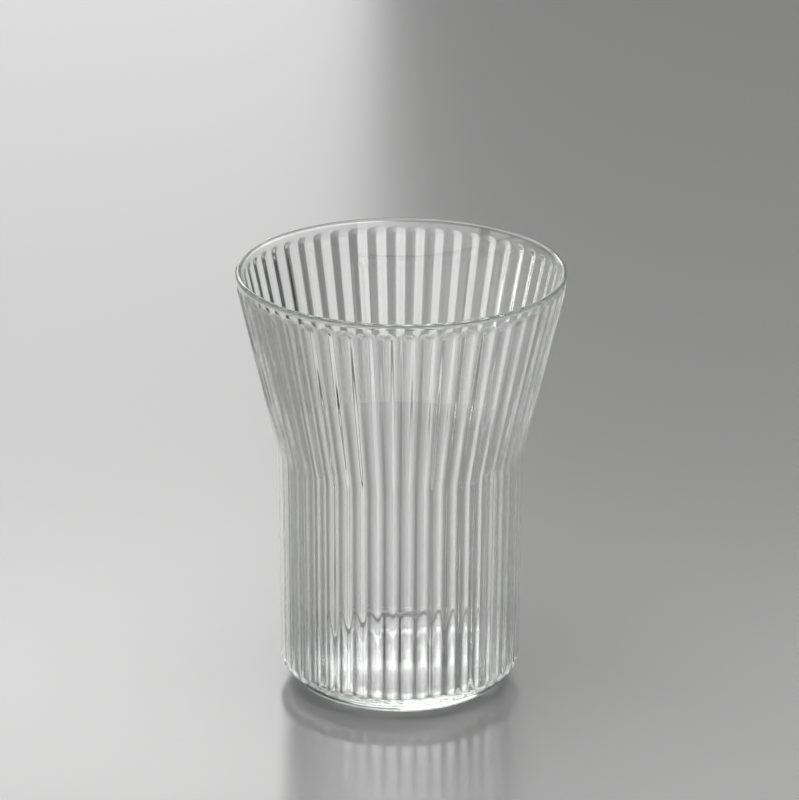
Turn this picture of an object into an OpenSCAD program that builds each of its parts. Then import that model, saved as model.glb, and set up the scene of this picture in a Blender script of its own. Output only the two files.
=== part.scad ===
// Ribbed chai glass: a mould-blown tumbler, one single piece of clear glass.
// A slightly drafted lower body rises from a rounded heel to a soft waist, and a conical mouth opens
// above it. Upright ribs with rounded ends stand proud of the outside, from the heel to a smooth band
// under the rounded rim. The axis is Z, and the table is the plane z = 0.

/* [Outline] */
// Height from the table to the top of the rim
height = 100; // [90:1:120]
// Outside diameter of the rim
mouth_d = 75.2; // [68:0.2:86]
// Diameter between the ribs at the waist, where the straight lines of body and mouth would meet
waist_d = 55.5; // [52:0.1:60]
// Height of the waist above the table
waist_h = 57; // [48:1:66]
// Diameter between the ribs that the straight line of the body would reach at the table
foot_d = 54.5; // [50:0.1:55]
// Outside radius of the soft bend at the waist
waist_r = 14; // [8:1:30]
// Outside radius of the rounded heel
heel_r = 7; // [5:0.5:9]

/* [Glass] */
// Thickness of the side wall between the ribs
wall = 1.3; // [1:0.1:2.2]
// Thickness of the floor over the standing ring
floor_t = 4.2; // [3:0.1:6]
// Inside radius of the corner between floor and wall
inner_heel_r = 1.6; // [1:0.1:4]

/* [Rim] */
// How far the fire-polished bead stands proud of the mouth's outside
bead_proud = 0.1; // [0.05:0.05:0.5]
// Width of the flat crest along the top of the bead
crest_w = 0.2; // [0.1:0.05:0.5]

/* [Ribs] */
// Number of ribs around the glass
rib_count = 50; // [40:1:56]
// How far the rib crests stand proud of the wall
rib_h = 0.5; // [0.2:0.05:0.8]
// Fullness of the ribs: at 2 the backs and the grooves are alike, and a lower power has broader backs
rib_power = 1.7; // [1.3:0.1:2.4]
// Height of the smooth band between the top of the rim and the rib tops
rim_band = 2.1; // [1.8:0.1:8]
// Length of wall between the table and the lowest rib ends, along the heel
heel_band = 7.8; // [5:0.1:9]
// Length over which a rib's top end rises from the wall to its full height
top_rise = 1.8; // [1:0.1:5]
// Length over which a rib's lower end rises from the wall to its full height
low_rise = 1.2; // [0.8:0.1:3]
// How much shorter a rib's flanks are than its crest, which rounds its top end
top_nose = 0.9; // [0.5:0.1:2.5]
// How much shorter a rib's flanks are than its crest, which rounds its lower end
low_nose = 0.4; // [0.2:0.1:2]

/* [Base] */
// Diameter of the shallow dome under the floor
punt_d = 34; // [20:1:35]
// Depth of the dome at its middle
punt_h = 0.5; // [0.4:0.1:1.2]

/* [Hidden] */

// Colour of the clear glass, with its faint grey-green cast
glass_colour = [0.86, 0.91, 0.89, 0.45];
// Overrun that carries each cut clear of the faces it opens
overrun = 1;
// Faces around the turned inside and the dome
turned_faces = 160;
// Straight steps along the heel, the inside corner, the waist bend and the inner half of the bead
heel_steps = 4;
corner_steps = 6;
waist_steps = 3;
bead_steps = 4;
// Places along the rise of a rib's end, and how much of the rib's height is reached there
rise_place_shares = [0, 0.4, 1];
rise_height_shares = [0, 0.8, 1];
// Places across one rib, from groove to groove, as shares of the pitch
rib_place_shares = [-0.5, -0.37, -0.2, 0, 0.2, 0.37];
// Places around the outside of the bead, from its foot to the crest
bead_place_shares = [0, 0.33, 0.64, 1];
bead_foot_angle = -45;

// A direction in the outline's plane, at an angle above level
function unit(angle) = [cos(angle), sin(angle)];
// A point on an arc
function on_arc(centre, radius, angle) = centre + radius * unit(angle);
// A value at a share of the way between two others
function between(low, high, share) = low + (high - low) * share;
// The length of an arc, and the angle that a length of it spans
function arc_length(radius, angle) = PI * radius * angle / 180;
function arc_angle(radius, length) = 180 * length / radius / PI;

// Rim bead, a circle that touches the inside of the mouth and stands proud of its outside
bead_r = (wall + bead_proud) / 2;
bead_centre = [mouth_d / 2 - bead_r, height - sqrt(pow(bead_r, 2) - pow(crest_w / 2, 2))];
crest_angle = acos(crest_w / 2 / bead_r);

// Angles of the outline's two straight lines, and of their outward normals
waist_point = [waist_d / 2, waist_h];
foot_point = [foot_d / 2, 0];
to_bead = bead_centre - waist_point;
body_angle = atan2(waist_h, waist_d / 2 - foot_d / 2);
mouth_angle = atan2(to_bead[1], to_bead[0]) - asin((wall - bead_r) / norm(to_bead));
body_normal = body_angle - 90;
mouth_normal = mouth_angle - 90;

// Arcs of the outline, and the points where the lines leave them
heel_centre = [foot_point[0] - heel_r * (1 - cos(body_angle)) / sin(body_angle), heel_r];
heel_top = on_arc(heel_centre, heel_r, body_normal);
waist_tangent = waist_r * tan((body_angle - mouth_angle) / 2);
waist_low = waist_point - waist_tangent * unit(body_angle);
waist_high = waist_point + waist_tangent * unit(mouth_angle);
waist_centre = waist_low + waist_r * unit(body_normal);

// Lengths along the outline from the table to the end of each stretch
heel_end = arc_length(heel_r, 90 + body_normal);
body_end = heel_end + norm(waist_low - heel_top);
waist_end = body_end + arc_length(waist_r, body_normal - mouth_normal);
function mouth_length(z) = waist_end + (z - waist_high[1]) / sin(mouth_angle);

// Point of the wall between the ribs, and the angle of its normal, at a length along the outline
function outline(s) =
    s < heel_end
        ? let (angle = arc_angle(heel_r, s) - 90) [on_arc(heel_centre, heel_r, angle), angle]
    : s < body_end
        ? [heel_top + (s - heel_end) * unit(body_angle), body_normal]
    : s < waist_end
        ? let (angle = body_normal - arc_angle(waist_r, s - body_end))
            [on_arc(waist_centre, -waist_r, angle), angle]
    : [waist_high + (s - waist_end) * unit(mouth_angle), mouth_normal];

// Rows of the outer skin from the table to the bead: length along the outline, share of the rib's
// height, and how far the row bends upwards at the grooves to round the rib ends
rib_low = heel_band;
rib_top = mouth_length(height - rim_band);
low_rows = [for (i = [0 : len(rise_place_shares) - 1])
    [rib_low + low_rise * rise_place_shares[i], rise_height_shares[i], low_nose]];
top_rows = [for (i = [len(rise_place_shares) - 1 : -1 : 0])
    [rib_top - top_rise * rise_place_shares[i], rise_height_shares[i], -top_nose]];
skin_rows = concat(
    [for (i = [0 : heel_steps - 1]) [between(0, heel_band, i / heel_steps), 0, 0]],
    low_rows,
    [[max(heel_end, rib_low + low_rise + low_nose), 1, 0]],
    [for (i = [0 : waist_steps]) [between(body_end, waist_end, i / waist_steps), 1, 0]],
    top_rows,
    [[mouth_length(bead_centre[1] - bead_r), 0, 0]]);
bead_points = [for (share = bead_place_shares)
    on_arc(bead_centre, bead_r, between(bead_foot_angle, crest_angle, share))];

// Height of a rib's back above the wall, level on the crest and in the groove, and the rounding of
// its end, across its width
function rib_back(share) =
    let (aside = abs(2 * share))
    rib_h * pow(1 - aside, rib_power) * (1 + rib_power * aside);
function rib_nose(share) = 1 - sqrt(1 - pow(2 * share, 2));

// Point of the ribbed skin in a row, before it is turned to its column
function skin_point(row, share) =
    let (wall_place = outline(row[0] + row[2] * rib_nose(share)))
    wall_place[0] + rib_back(share) * row[1] * unit(wall_place[1]);

// Solid blank with the ribbed outside, closed by a flat sole and a flat crest
module ribbed_blank() {
    points = [for (
            row = [0 : len(skin_rows) + len(bead_points) - 1],
            rib = [0 : rib_count - 1],
            share = rib_place_shares
        )
        let (
            turn = (rib + share) * 360 / rib_count - 90,
            flat_point = row < len(skin_rows)
                ? skin_point(skin_rows[row], share)
                : bead_points[row - len(skin_rows)]
        )
        [flat_point[0] * cos(turn), flat_point[0] * sin(turn), flat_point[1]]];
    columns = rib_count * len(rib_place_shares);
    crest_row = len(points) - columns;
    sides = [for (low = [0 : columns : crest_row - columns], j = [0 : columns - 1])
        let (
            next = (j + 1) % columns,
            high = low + columns
        )
        each [[low + j, high + j, low + next], [low + next, high + j, high + next]]];
    sole = [for (j = [0 : columns - 1]) j];
    crest = [for (j = [columns - 1 : -1 : 0]) crest_row + j];
    polyhedron(points, concat(sides, [sole, crest]));
}

// Smooth turned inside, open at the rim
module inside() {
    body_inside = foot_point - wall * unit(body_normal);
    corner_z = floor_t + inner_heel_r;
    corner_r = body_inside[0] + (corner_z - body_inside[1]) / tan(body_angle)
        - inner_heel_r / sin(body_angle);
    corner = [for (i = [0 : corner_steps])
        on_arc([corner_r, corner_z], inner_heel_r, between(-90, body_normal, i / corner_steps))];
    waist = [for (i = [0 : waist_steps])
        on_arc(waist_centre, -(waist_r + wall), between(body_normal, mouth_normal, i / waist_steps))];
    lip = [for (i = [0 : bead_steps])
        on_arc(bead_centre, bead_r, between(180 + mouth_normal, 180 - crest_angle, i / bead_steps))];
    open_z = height + overrun;
    top = [[lip[bead_steps][0], open_z], [0, open_z]];
    rotate_extrude($fn = turned_faces)
        polygon(concat([[0, floor_t]], corner, waist, lip, top));
}

// Shallow dome under the floor, which leaves a flat ring to stand on
module punt() {
    dome_r = (pow(punt_d / 2, 2) + pow(punt_h, 2)) / (2 * punt_h);
    translate([0, 0, punt_h - dome_r])
        sphere(dome_r, $fn = turned_faces);
}

module tumbler() {
    color(glass_colour)
        difference() {
            ribbed_blank();
            inside();
            punt();
        }
}

tumbler();
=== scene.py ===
"""Looks of the ribbed chai glass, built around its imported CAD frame: one blown piece of clear glass."""

import math

import bpy
import numpy as np
from mathutils import Matrix, Vector


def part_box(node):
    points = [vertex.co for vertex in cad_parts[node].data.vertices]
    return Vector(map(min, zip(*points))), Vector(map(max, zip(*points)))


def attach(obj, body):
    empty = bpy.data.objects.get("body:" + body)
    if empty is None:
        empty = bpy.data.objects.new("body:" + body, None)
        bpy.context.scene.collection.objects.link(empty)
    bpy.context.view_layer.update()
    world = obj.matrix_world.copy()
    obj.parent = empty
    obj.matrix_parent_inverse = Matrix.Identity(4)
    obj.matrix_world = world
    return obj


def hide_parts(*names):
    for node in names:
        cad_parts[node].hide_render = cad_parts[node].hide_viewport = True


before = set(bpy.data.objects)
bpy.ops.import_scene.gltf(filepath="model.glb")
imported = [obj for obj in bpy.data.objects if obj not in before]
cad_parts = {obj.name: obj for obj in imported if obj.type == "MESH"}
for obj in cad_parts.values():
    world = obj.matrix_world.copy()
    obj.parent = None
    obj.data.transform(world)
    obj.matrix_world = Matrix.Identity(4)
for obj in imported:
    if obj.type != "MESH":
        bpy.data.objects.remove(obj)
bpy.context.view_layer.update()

MM = 0.001
low_corner, high_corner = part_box("tumbler")

# Outline of the glass in millimetres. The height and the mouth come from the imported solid.
HEIGHT = high_corner.z / MM
MOUTH_R = (high_corner.x - low_corner.x) / 2 / MM
# Where the straight lines of body and mouth would meet, and where the body's line would reach the table
WAIST_R = 27.75
WAIST_H = 57.0
FOOT_R = 27.25
# Outside radii of the bend at the waist and of the heel, and the inside radius of the floor's corner
WAIST_BEND_R = 14.0
HEEL_R = 7.0
INNER_HEEL_R = 1.6
# Thickness of the glass, and how far the rim's bead stands proud of the wall
WALL = 1.3
FLOOR_T = 4.2
BEAD_PROUD = 0.1
# Shallow dome under the floor
PUNT_R = 17.0
PUNT_H = 0.5

# Ribs, and the smooth bands that they leave under the rim and along the heel
RIBS = 50
RIB_H = 0.5
RIM_BAND = 2.1
HEEL_BAND = 7.8
# Lengths over which a rib's ends rise, and how much shorter its flanks are than its crest
LOW_RISE = 1.2
TOP_RISE = 1.8
LOW_NOSE = 0.4
TOP_NOSE = 0.9
# Fullness of the ribs: at 2 the backs and the grooves are alike, and a lower power has broader backs
RIB_POWER = 1.7
# Share of a rib's half width over which its ends are round
NOSE_SHARE = 0.97

# Mesh columns across one rib, and how far they crowd towards the groove, as a share of the pitch
COLUMNS = 18
CROWDING = 0.03
# Radius of the ring of faces around the middle of the dome and of the floor
POLE_R = 0.6
# Lengths of close rows past a rib's rise and past its top, and the gap to the row before the bead
RISE_MARGIN = 0.3
TOP_MARGIN = 0.2
BEAD_GAP = 0.08
# Rows of the bead, and of the inside close under it
BEAD_ROWS = 26
LIP_DROPS = (0.1, 0.4, 1.2)
LIP_LENGTH = 2.5


def unit(angle):
    """A direction in the outline's plane, at an angle above level."""
    return np.array([math.cos(angle), math.sin(angle)])


class Outline:
    """The wall between the ribs, as a path from the table to the rim, walked by its length."""

    def __init__(self):
        self.bead_r = (WALL + BEAD_PROUD) / 2
        self.bead = np.array([MOUTH_R - self.bead_r, HEIGHT - self.bead_r])
        waist = np.array([WAIST_R, WAIST_H])
        self.foot = np.array([FOOT_R, 0.0])
        to_bead = self.bead - waist
        self.body_angle = math.atan2(WAIST_H, WAIST_R - FOOT_R)
        lean = math.asin((WALL - self.bead_r) / np.linalg.norm(to_bead))
        self.mouth_angle = math.atan2(to_bead[1], to_bead[0]) - lean
        self.body_normal = self.body_angle - math.pi / 2
        self.mouth_normal = self.mouth_angle - math.pi / 2
        back = HEEL_R * (1 - math.cos(self.body_angle)) / math.sin(self.body_angle)
        self.heel = np.array([FOOT_R - back, HEEL_R])
        self.heel_top = self.heel + HEEL_R * unit(self.body_normal)
        tangent = WAIST_BEND_R * math.tan((self.body_angle - self.mouth_angle) / 2)
        self.waist_low = waist - tangent * unit(self.body_angle)
        self.waist_high = waist + tangent * unit(self.mouth_angle)
        self.waist_centre = self.waist_low + WAIST_BEND_R * unit(self.body_normal)
        # Lengths from the table to the end of each stretch
        self.heel_end = HEEL_R * (math.pi / 2 + self.body_normal)
        self.body_end = self.heel_end + np.linalg.norm(self.waist_low - self.heel_top)
        self.waist_end = self.body_end + WAIST_BEND_R * (self.body_normal - self.mouth_normal)
        # Where the bead's middle is level with the wall, and where its round leaves the wall's outside
        self.bead_level = self.waist_end + np.dot(self.bead - self.waist_high, unit(self.mouth_angle))
        half = math.acos((WALL - self.bead_r) / self.bead_r)
        self.bead_start = self.mouth_normal - half
        self.bead_foot = self.bead_level - self.bead_r * math.sin(half)

    def mouth_length(self, z):
        """Length along the path at a height in the mouth."""
        return self.waist_end + (z - self.waist_high[1]) / math.sin(self.mouth_angle)

    def at(self, s):
        """Point of the wall and direction of its outward normal at a length along the path."""
        if s < self.heel_end:
            angle = s / HEEL_R - math.pi / 2
            return self.heel + HEEL_R * unit(angle), unit(angle)
        if s < self.body_end:
            return self.heel_top + (s - self.heel_end) * unit(self.body_angle), unit(self.body_normal)
        if s < self.waist_end:
            angle = self.body_normal - (s - self.body_end) / WAIST_BEND_R
            return self.waist_centre - WAIST_BEND_R * unit(angle), unit(angle)
        return self.waist_high + (s - self.waist_end) * unit(self.mouth_angle), unit(self.mouth_normal)


class Ribs:
    """The mesh's columns around the glass, and the ribs' shape across them."""

    def __init__(self):
        even = np.linspace(-0.5, 0.5, COLUMNS, endpoint=False)
        across = np.tile(even + CROWDING * np.sin(2 * np.pi * even), RIBS)
        rib = np.repeat(np.arange(RIBS), COLUMNS)
        self.turn = (rib + across) * 2 * np.pi / RIBS - np.pi / 2
        # From 0 on the crest to 1 in the groove
        aside = np.abs(2 * across)
        self.back = (1 - aside) ** RIB_POWER * (1 + RIB_POWER * aside)
        self.nose = 1 - np.sqrt(np.clip(1 - (NOSE_SHARE * aside) ** 2, 0, 1))


def smooth(t):
    """A soft step from 0 to 1."""
    t = np.clip(t, 0.0, 1.0)
    return t * t * (3 - 2 * t)


def spread(low, high, count):
    """Values from low up to, and not including, high."""
    return list(np.linspace(low, high, count, endpoint=False))


def walk(start, stretches):
    """Values from start on, through stretches that each have an end and a number of rows."""
    places = []
    for end, rows in stretches:
        places += spread(start, end, rows)
        start = end
    return places


def under_rings(path):
    """Dome under the floor, from its middle outwards, and the standing ring."""
    dome_r = (PUNT_R ** 2 + PUNT_H ** 2) / (2 * PUNT_H)
    dome = [(r, PUNT_H - dome_r + math.sqrt(dome_r ** 2 - r ** 2)) for r in spread(POLE_R, PUNT_R, count=12)]
    return dome + [(r, 0.0) for r in spread(PUNT_R, path.heel[0], count=3)]


def outside_rows(path, ribs):
    """Ribbed outside, from the table to the foot of the bead."""
    rib_top = path.mouth_length(HEIGHT - RIM_BAND)
    low_full = HEEL_BAND + LOW_RISE + LOW_NOSE
    top_full = rib_top - TOP_RISE - TOP_NOSE
    lengths = walk(0, [
        (HEEL_BAND - RISE_MARGIN, 9),
        (low_full + RISE_MARGIN, 18),
        (max(path.heel_end, low_full + 2 * RISE_MARGIN), 4),
        (path.body_end, 16),
        (path.waist_end, 10),
        (top_full - RISE_MARGIN, 14),
        (rib_top + TOP_MARGIN, 22),
        (path.bead_foot, 4),
    ])
    rows = []
    for s in lengths + [path.bead_foot - BEAD_GAP]:
        point, normal = path.at(s)
        low_end = smooth((s - HEEL_BAND - LOW_NOSE * ribs.nose) / LOW_RISE)
        top_end = smooth((rib_top - TOP_NOSE * ribs.nose - s) / TOP_RISE)
        proud = RIB_H * ribs.back * np.minimum(low_end, top_end)
        rows.append(point + proud[:, None] * normal)
    return rows


def bead_rings(path):
    """Bead of the rim, over its top from the outside to the inside."""
    angles = np.linspace(path.bead_start, math.pi + path.mouth_normal, BEAD_ROWS)
    return [path.bead + path.bead_r * unit(angle) for angle in angles]


def inside_rings(path):
    """Smooth inside, from the lip down, and the floor to its middle."""
    lip = path.bead_level
    close = [lip - drop for drop in LIP_DROPS]
    rings = []
    for s in close + walk(lip - LIP_LENGTH, [(path.waist_end, 15), (path.body_end, 10)]):
        point, normal = path.at(s)
        rings.append(point - WALL * normal)
    body_top = path.at(path.body_end)[0] - WALL * unit(path.body_normal)
    inside_foot = path.foot - WALL * unit(path.body_normal)
    corner_z = FLOOR_T + INNER_HEEL_R
    wall_r = inside_foot[0] + (corner_z - inside_foot[1]) / math.tan(path.body_angle)
    corner = np.array([wall_r - INNER_HEEL_R / math.sin(path.body_angle), corner_z])
    corner_top = corner + INNER_HEEL_R * unit(path.body_normal)
    rings += [body_top + (corner_top - body_top) * t for t in spread(0, 1, count=18)]
    for angle in spread(path.body_normal, -math.pi / 2, count=16):
        rings.append(corner + INNER_HEEL_R * unit(angle))
    return rings + [(r, FLOOR_T) for r in spread(corner[0], POLE_R, count=10) + [POLE_R]]


def glass_mesh(name):
    """One closed skin: dome, standing ring, ribbed outside, bead, smooth inside and floor."""
    path = Outline()
    ribs = Ribs()
    count = len(ribs.turn)

    def around(rings):
        return [np.tile(ring, (count, 1)) for ring in rings]

    rows = around(under_rings(path))
    rows += outside_rows(path, ribs)
    rows += around(bead_rings(path))
    rows += around(inside_rings(path))
    grid = np.array(rows)
    points = np.empty((len(rows), count, 3))
    points[..., 0] = grid[..., 0] * np.cos(ribs.turn)
    points[..., 1] = grid[..., 0] * np.sin(ribs.turn)
    points[..., 2] = grid[..., 1]
    poles = np.array([[0, 0, PUNT_H], [0, 0, FLOOR_T]])
    verts = np.vstack([points.reshape(-1, 3), poles]) * MM
    under_pole = len(rows) * count
    floor_pole = under_pole + 1
    last_row = under_pole - count
    faces = []
    for low in range(0, last_row, count):
        high = low + count
        for j in range(count):
            k = (j + 1) % count
            faces.append((low + j, low + k, high + k, high + j))
    for j in range(count):
        k = (j + 1) % count
        faces.append((under_pole, k, j))
        faces.append((floor_pole, last_row + j, last_row + k))
    mesh = bpy.data.meshes.new(name)
    mesh.from_pydata(verts.tolist(), [], faces)
    mesh.update()
    mesh.shade_smooth()
    return mesh


def node(tree, kind, **inputs):
    """A node with some of its sockets set."""
    made = tree.nodes.new(kind)
    for key, value in inputs.items():
        made.inputs[key.replace("_", " ")].default_value = value
    return made


def glass_material():
    """Clear glass with a faint grey-green cast, and a fire-polished skin that is not quite even."""
    made = bpy.data.materials.new("clear_glass")
    made.use_nodes = True
    tree = made.node_tree
    tree.nodes.clear()
    link = tree.links.new
    out = node(tree, "ShaderNodeOutputMaterial")
    skin = node(tree, "ShaderNodeBsdfPrincipled", IOR=1.47, Transmission_Weight=1.0)
    link(skin.outputs["BSDF"], out.inputs["Surface"])
    place = node(tree, "ShaderNodeTexCoord")

    def noise(scale, detail):
        made_noise = node(tree, "ShaderNodeTexNoise", Scale=scale, Detail=detail)
        link(place.outputs["Object"], made_noise.inputs["Vector"])
        return made_noise.outputs["Fac"]

    # Patches of slight haze
    haze = node(tree, "ShaderNodeMapRange", From_Min=0.35, From_Max=0.75, To_Min=0.0, To_Max=0.035)
    link(noise(90.0, 3.0), haze.inputs["Value"])
    link(haze.outputs["Result"], skin.inputs["Roughness"])
    # Faint unevenness of the tint
    tint = node(tree, "ShaderNodeValToRGB")
    tint.color_ramp.elements[0].color = (0.988, 0.991, 0.988, 1)
    tint.color_ramp.elements[1].color = (1.0, 1.0, 1.0, 1)
    link(noise(30.0, 2.0), tint.inputs["Fac"])
    link(tint.outputs["Color"], skin.inputs["Base Color"])
    # Ripple of the blown skin
    bump = node(tree, "ShaderNodeBump", Strength=0.05, Distance=0.0002)
    link(noise(140.0, 2.0), bump.inputs["Height"])
    link(bump.outputs["Normal"], skin.inputs["Normal"])
    # Colour of the glass in its depth
    depth = node(tree, "ShaderNodeVolumeAbsorption", Color=(0.89, 0.95, 0.92, 1), Density=9.0)
    link(depth.outputs["Volume"], out.inputs["Volume"])
    return made


def placed(name, data):
    """A new object in the scene."""
    made = bpy.data.objects.new(name, data)
    bpy.context.scene.collection.objects.link(made)
    return made


glass = placed("tumbler_glass", glass_mesh("tumbler_glass"))
glass.data.materials.append(glass_material())
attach(glass, "root")
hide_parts("tumbler")

# Camera at the photograph's angle, in metres. It looks at a point on the axis, moved a little aside.
ELEVATION = math.radians(20.9)
AZIMUTH = math.radians(-2.1)
ROLL = 0.0048
DISTANCE = 1.0
TARGET_Z = 0.0683
TARGET_ASIDE = -0.00029
PIXELS_PER_M = 4370.0
IMAGE_WIDTH = 799
SENSOR_WIDTH = 36.0


def make_camera():
    """The scene's camera, turned to the photograph's view."""
    side = Vector((math.cos(AZIMUTH), math.sin(AZIMUTH), 0))
    back = Vector((
        math.cos(ELEVATION) * math.sin(AZIMUTH),
        -math.cos(ELEVATION) * math.cos(AZIMUTH),
        math.sin(ELEVATION),
    ))
    turned = Matrix((side, back.cross(side), back)).transposed().to_4x4()
    target = Vector((0, 0, TARGET_Z)) + side * TARGET_ASIDE
    data = bpy.data.cameras.new("camera")
    data.sensor_fit = "HORIZONTAL"
    data.sensor_width = SENSOR_WIDTH
    data.lens = PIXELS_PER_M * DISTANCE / IMAGE_WIDTH * SENSOR_WIDTH
    data.clip_start = 0.01
    data.clip_end = 50
    camera = placed("camera", data)
    at_place = Matrix.Translation(target + back * DISTANCE)
    camera.matrix_world = at_place @ turned @ Matrix.Rotation(ROLL, 4, "Z")
    bpy.context.scene.camera = camera


# Floor: half its width in metres, and how far it lies under the glass, so that their faces don't meet
FLOOR_REACH = 4.0
FLOOR_DROP = 0.00002


def make_floor():
    """Pale satin floor."""
    mesh = bpy.data.meshes.new("floor")
    corners = [(-1, -1), (1, -1), (1, 1), (-1, 1)]
    mesh.from_pydata([(x * FLOOR_REACH, y * FLOOR_REACH, 0) for x, y in corners], [], [(0, 1, 2, 3)])
    floor = placed("floor", mesh)
    floor.location.z = -FLOOR_DROP
    material = bpy.data.materials.new("floor")
    material.use_nodes = True
    skin = material.node_tree.nodes["Principled BSDF"]
    skin.inputs["Base Color"].default_value = (0.40, 0.40, 0.397, 1)
    skin.inputs["Roughness"].default_value = 0.2
    skin.inputs["IOR"].default_value = 1.6
    mesh.materials.append(material)


# Place of the lamps behind the glass
BACK_PLANE_Y = 1.5


def softbox(name, place, aim, size, watts):
    """A rectangular lamp that faces a point."""
    data = bpy.data.lights.new(name, "AREA")
    data.shape = "RECTANGLE"
    data.size, data.size_y = size
    data.energy = watts
    lamp = placed(name, data)
    lamp.location = place
    lamp.rotation_euler = (Vector(aim) - Vector(place)).to_track_quat("-Z", "Y").to_euler()
    lamp.visible_camera = False


def back_softbox(name, x, z, size, watts):
    """A lamp in a plane behind the glass, that faces straight forward."""
    softbox(name, (x, BACK_PLANE_Y, z), (x, 0, z), size, watts)


def ring_softbox(name, azimuth, distance, z, size, watts):
    """A lamp around the glass, by degrees to the right of the front, that faces the glass's axis."""
    turn = math.radians(azimuth)
    softbox(name, (distance * math.sin(turn), -distance * math.cos(turn), z), (0, 0, z), size, watts)


def make_light():
    """Soft studio light: a window behind on the left, low lamps around, a large lamp above, a dim room."""
    back_softbox("window", -0.18, 0.35, (0.44, 0.6), 1.66)
    back_softbox("window_top", -0.43, 0.75, (0.94, 0.2), 2.9)
    back_softbox("window_left", -0.65, 0.5, (0.5, 0.3), 1.4)
    back_softbox("sky", 0.32, 0.925, (0.56, 0.55), 1.35)
    ring_softbox("left_low", -95, 1.6, 0.25, (1.6, 0.4), 3.6)
    ring_softbox("right_back", 105, 1.6, 0.75, (0.8, 0.4), 2.2)
    ring_softbox("front_low", -15, 1.3, 0.22, (2.6, 0.36), 6.2)
    softbox("overhead", (0, -0.05, 1.6), (0, -0.05, 0), (1.8, 1.4), 18.8)
    world = bpy.data.worlds.new("studio")
    world.use_nodes = True
    room = world.node_tree.nodes["Background"]
    room.inputs["Color"].default_value = (0.04, 0.04, 0.04, 1)
    room.inputs["Strength"].default_value = 1.0
    bpy.context.scene.world = world


make_camera()
make_floor()
make_light()

# Light passes many faces on its way through the ribs of both walls
BOUNCES = 48
cycles = bpy.context.scene.cycles
cycles.max_bounces = BOUNCES
cycles.transmission_bounces = BOUNCES
cycles.glossy_bounces = BOUNCES
bpy.context.scene.view_settings.view_transform = "Standard"
